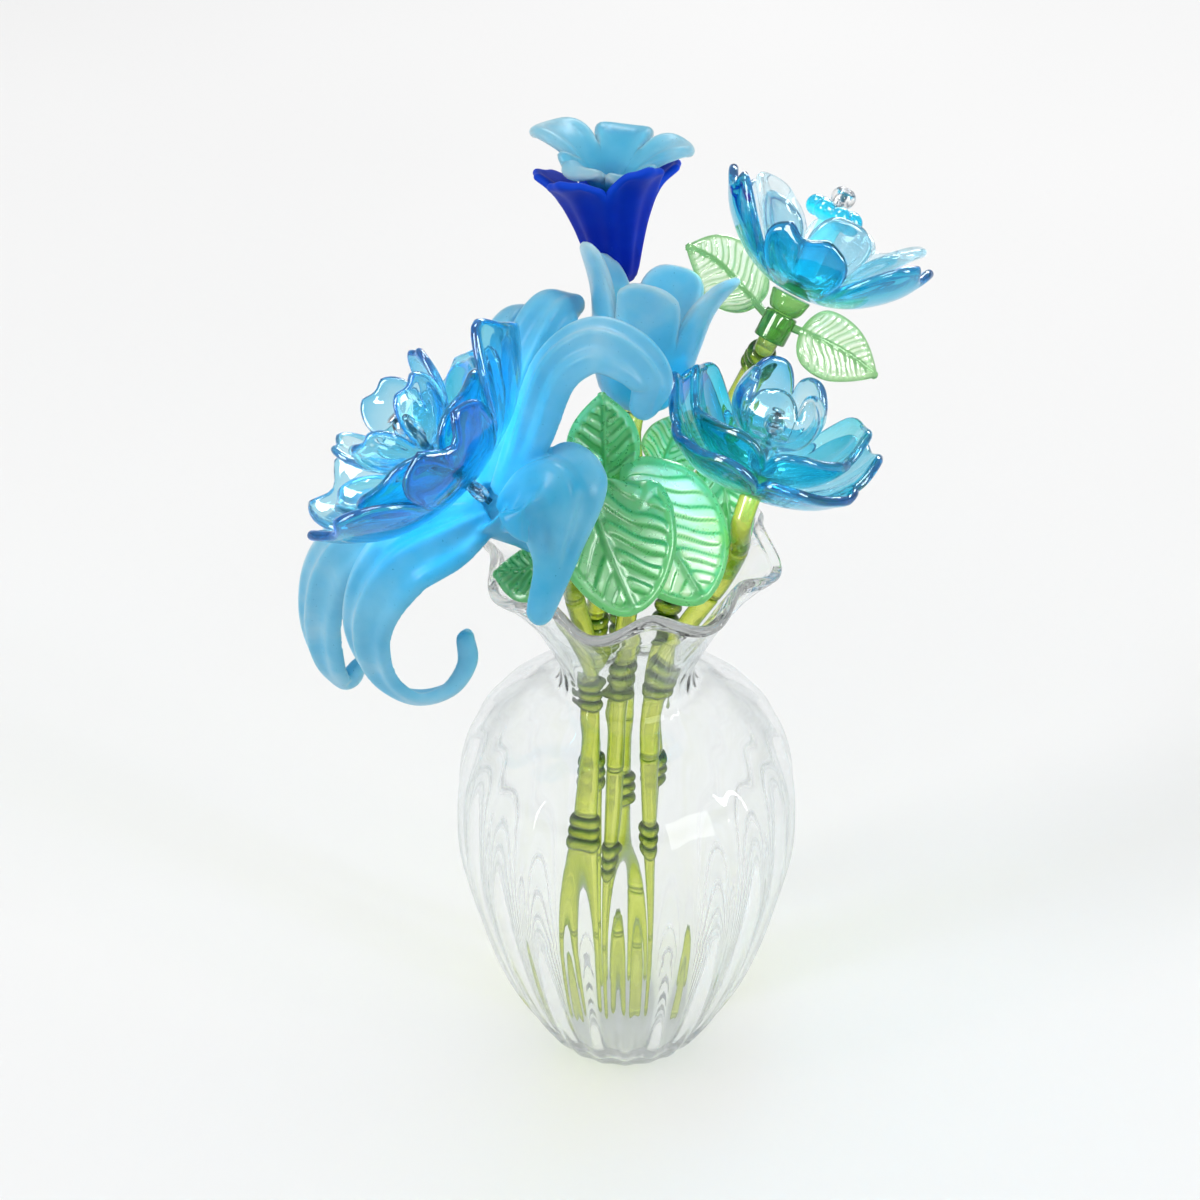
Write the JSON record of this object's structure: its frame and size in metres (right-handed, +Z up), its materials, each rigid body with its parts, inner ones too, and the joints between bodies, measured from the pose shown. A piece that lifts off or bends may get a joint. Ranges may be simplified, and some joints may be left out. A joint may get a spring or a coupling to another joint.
{
  "type": "miniature bouquet of glass flowers in a clear vase",
  "caption": "Small ornamental bouquet of blue glass flower beads and green leaves on beaded stems, standing in a clear fluted vase with a ruffled rim.",
  "frame": {"origin": "centre of the vase's flat foot", "axes": "+Z up the vase, -Y towards the front, +X to the right of a viewer in front of it"},
  "size_m": [0.1027, 0.0819, 0.1707],
  "materials": {
    "clear_glass": "clear, polished, with soft moulded flutes",
    "clear_acrylic": "clear, polished",
    "olive_bead": "translucent olive, polished",
    "deep_blue_gloss": "clear with deep blue tips, polished",
    "teal_gloss": "translucent teal, polished",
    "aqua_gloss": "clear aqua with a blue edge, polished",
    "smoke_blue_gloss": "smoky grey-blue, polished",
    "turquoise_gloss": "translucent turquoise, polished",
    "blue_frosted": "frosted, satin",
    "pale_blue_frosted": "frosted, satin",
    "cobalt_frosted": "frosted, satin",
    "pin_steel": "bright steel wire",
    "leaf_green": "translucent green, frosted, with raised veins",
    "pale_green_gloss": "pale translucent green, polished"
  },
  "bodies": {
    "root": {"vase": "clear_glass", "stem_lily": "olive_bead", "stem_leaves": "olive_bead", "stem_bell": "olive_bead", "stem_trumpet": "olive_bead", "stem_rose_top": "olive_bead", "stem_rose_right": "olive_bead", "rose_right_outer": "deep_blue_gloss", "rose_right_middle": "teal_gloss", "rose_right_inner": "aqua_gloss", "rose_right_bead": "clear_acrylic", "rose_right_pin": "pin_steel", "rose_left_outer": "deep_blue_gloss", "rose_left_middle": "teal_gloss", "rose_left_inner": "aqua_gloss", "rose_left_bead": "clear_acrylic", "rose_left_pin": "pin_steel", "rose_left_tube": "clear_acrylic", "rose_top_outer": "deep_blue_gloss", "rose_top_middle": "smoke_blue_gloss", "rose_top_daisy": "turquoise_gloss", "rose_top_bead": "clear_acrylic", "rose_top_pin": "pin_steel", "rose_top_cup": "pale_green_gloss", "bell": "pale_blue_frosted", "trumpet_outer": "cobalt_frosted", "trumpet_inner": "pale_blue_frosted", "trumpet_pin": "pin_steel", "lily": "blue_frosted", "leaf_front_left": "leaf_green", "leaf_front_right": "leaf_green", "leaf_upright": "leaf_green", "leaf_behind": "leaf_green", "leaf_low_left": "leaf_green", "leaf_low_right": "leaf_green", "leaf_top_left": "pale_green_gloss", "leaf_top_right": "pale_green_gloss"}
  },
  "joints": []
}
